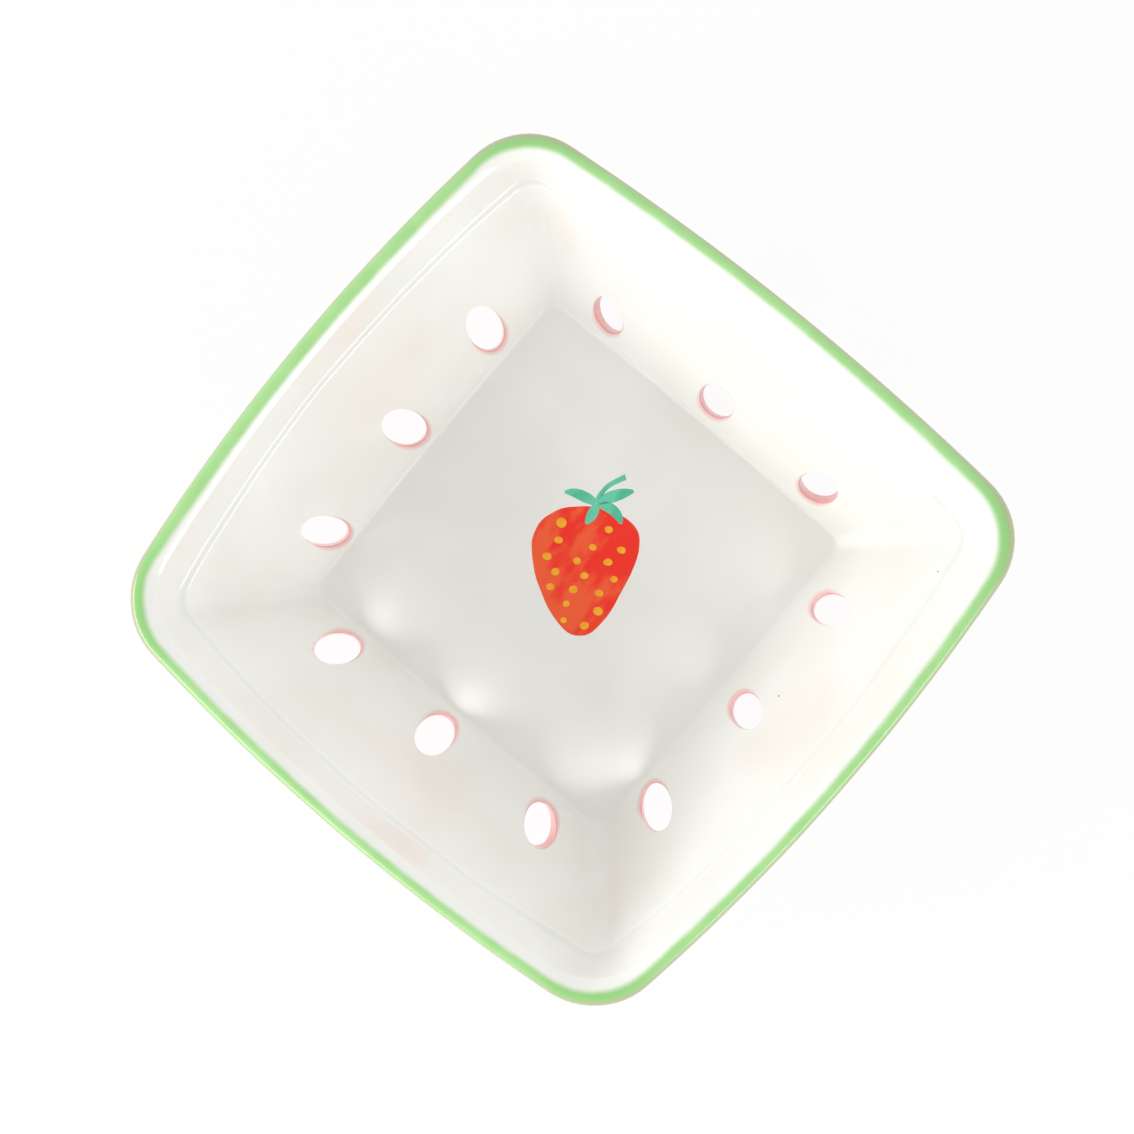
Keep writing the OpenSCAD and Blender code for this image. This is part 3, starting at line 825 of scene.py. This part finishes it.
# Camera: nearly straight down, turned so that a corner points up in the picture
camera = {"place": (34.55, -25.11, 560.68), "turn": (-1.1, 4.55, -49.93), "lens": 69.84}
cameraData = bpy.data.cameras.new("camera")
cameraData.lens = camera["lens"]
cameraData.sensor_width = 36
cameraObject = bpy.data.objects.new("camera", cameraData)
cameraObject.location = Vector(camera["place"]) * mm
cameraObject.rotation_euler = Euler([radians(a) for a in camera["turn"]], "YXZ")
cameraObject.rotation_mode = "YXZ"
bpy.context.scene.collection.objects.link(cameraObject)
bpy.context.scene.camera = cameraObject

# Two wide softboxes stand low on the -X and -Y sides, in a pale room that is dimmer toward its ceiling
light = {
    # azimuth from +X and height in degrees, distance and size in metres, power in watts
    "softboxes": [
        {"name": "leftSoftbox", "azimuth": 152, "rise": 25, "away": 1.0, "size": (1.1, 0.26),
         "power": 5.2},
        {"name": "frontSoftbox", "azimuth": 266, "rise": 25, "away": 1.0, "size": (0.46, 0.26),
         "power": 1.7},
    ],
    # two strips below the rim throw fans of light through the drain holes onto the floor: they light
    # the inside glaze alone and don't show in its gloss
    "strips": [
        {"name": "leftStrip", "place": (-0.094, 0.022, 0.044), "size": (0.18, 0.03), "power": 0.27},
        {"name": "frontStrip", "place": (-0.022, -0.094, 0.044), "size": (0.18, 0.03), "power": 0.27},
    ],
    "stripDrop": 0.03,  # how far each strip aims down on its way to the middle
    # the room's glow: its mean, and how it changes toward +X, +Y and up
    "room": 1.17, "roomSlope": (0.08, 0.08, -0.55), "glossRoom": 0.5,
    "table": "F7F7F5", "tableSide": 3.0, "seenTable": 0.92,
}


def addLamp(name, place, aim, size, power):
    data = bpy.data.lights.new(name, "AREA")
    data.shape = "RECTANGLE"
    data.size, data.size_y = size
    data.energy = power
    lamp = bpy.data.objects.new(name, data)
    lamp.location = place
    lamp.rotation_euler = (Vector(place) - Vector(aim)).to_track_quat("Z", "Y").to_euler()
    bpy.context.scene.collection.objects.link(lamp)
    return lamp


for box in light["softboxes"]:
    toward = Vector((*heading(box["azimuth"]) * cos(radians(box["rise"])), sin(radians(box["rise"]))))
    addLamp(box["name"], toward * box["away"], (0, 0, 0), box["size"], box["power"])
litInside = bpy.data.collections.new("lit through the holes")
litInside.objects.link(insideGlaze)
for strip in light["strips"]:
    x, y, z = strip["place"]
    aim = (0, y, z - light["stripDrop"]) if abs(x) > abs(y) else (x, 0, z - light["stripDrop"])
    lamp = addLamp(strip["name"], strip["place"], aim, strip["size"], strip["power"])
    lamp.light_linking.receiver_collection = litInside
    lamp.visible_glossy = False


def seenWhite(tree, glossShare):
    # 1 for the camera's rays, which see plain white, a share of it for gloss, and 0 for light
    path = addNode(tree, "ShaderNodeLightPath")
    gloss = addNode(tree, "ShaderNodeMath", {"operation": "MULTIPLY", 1: glossShare},
                    {0: path.outputs["Is Glossy Ray"]})
    return addNode(tree, "ShaderNodeMath", {"operation": "MAXIMUM"},
                   {0: gloss.outputs[0], 1: path.outputs["Is Camera Ray"]}).outputs[0]


world = bpy.data.worlds.new("room")
world.use_nodes = True
roomTree = world.node_tree
roomTree.nodes.clear()
change = addNode(roomTree, "ShaderNodeVectorMath", {"operation": "DOT_PRODUCT", 1: light["roomSlope"]},
                 {0: addNode(roomTree, "ShaderNodeTexCoord").outputs["Generated"]}).outputs["Value"]
glowing = addNode(roomTree, "ShaderNodeMath", {"operation": "ADD", 1: light["room"]}, {0: change})
strength = addNode(roomTree, "ShaderNodeMapRange", {"To Max": 1.0}, {"To Min": glowing.outputs[0],
                   "Value": seenWhite(roomTree, light["glossRoom"])}).outputs[0]
room = addNode(roomTree, "ShaderNodeBackground", {"Color": colour("FFFFFF")}, {"Strength": strength})
addNode(roomTree, "ShaderNodeOutputWorld", {}, {"Surface": room.outputs[0]})
bpy.context.scene.world = world

tableMaterial, tableTree = newMaterial("white painted table")
plain = addNode(tableTree, "ShaderNodeBsdfDiffuse", {"Color": colour(light["table"])})
glow = addNode(tableTree, "ShaderNodeEmission", {"Color": colour("FFFFFF"), "Strength": 1.0})
share = addNode(tableTree, "ShaderNodeMath", {"operation": "MULTIPLY", 1: light["seenTable"]},
                {0: seenWhite(tableTree, light["glossRoom"])})
whole = addNode(tableTree, "ShaderNodeMixShader", {}, {0: share.outputs[0], 1: plain.outputs[0],
                2: glow.outputs[0]})
addNode(tableTree, "ShaderNodeOutputMaterial", {}, {"Surface": whole.outputs[0]})
half = light["tableSide"] / 2
tableMesh = bpy.data.meshes.new("table")
tableCorners = [(-half, -half, 0), (half, -half, 0), (half, half, 0), (-half, half, 0)]
tableMesh.from_pydata(tableCorners, [], [(0, 1, 2, 3)])
tableMesh.materials.append(tableMaterial)
table = bpy.data.objects.new("table", tableMesh)
bpy.context.scene.collection.objects.link(table)
print("camera, lamps and table set")

bpy.context.scene.view_settings.view_transform = "Standard"
